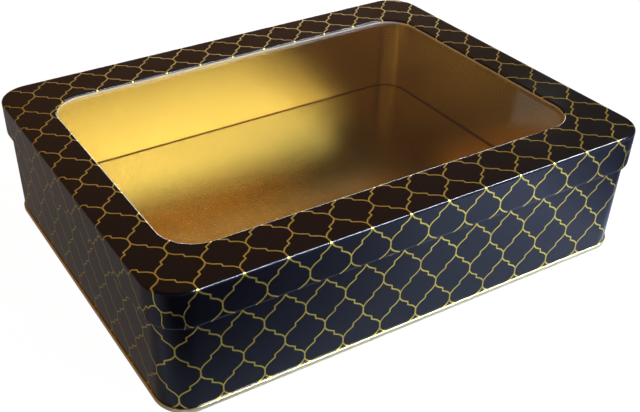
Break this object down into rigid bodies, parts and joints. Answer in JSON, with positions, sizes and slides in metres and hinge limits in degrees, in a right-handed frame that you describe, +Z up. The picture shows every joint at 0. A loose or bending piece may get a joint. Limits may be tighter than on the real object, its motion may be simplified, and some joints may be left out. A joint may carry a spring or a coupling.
{
  "type": "rectangular window tin box",
  "caption": "Rectangular slip-lid tin box with rounded corners, a trellis print, gold lacquer inside and a large clear window in the lid.",
  "frame": {"origin": "centre of the bounding box at the ground, where the rolled seam stands", "axes": "+X along the long side, +Y along the short side to the back, +Z up through the lid"},
  "size_m": [0.305, 0.238, 0.0765],
  "materials": {
    "printed_tinplate": "gloss",
    "gold_lacquer": "satin",
    "clear_film": "gloss"
  },
  "bodies": {
    "root": {"box_base": "gold_lacquer", "box_wall": "printed_tinplate", "window_film": "clear_film", "lid": "printed_tinplate"}
  },
  "joints": []
}
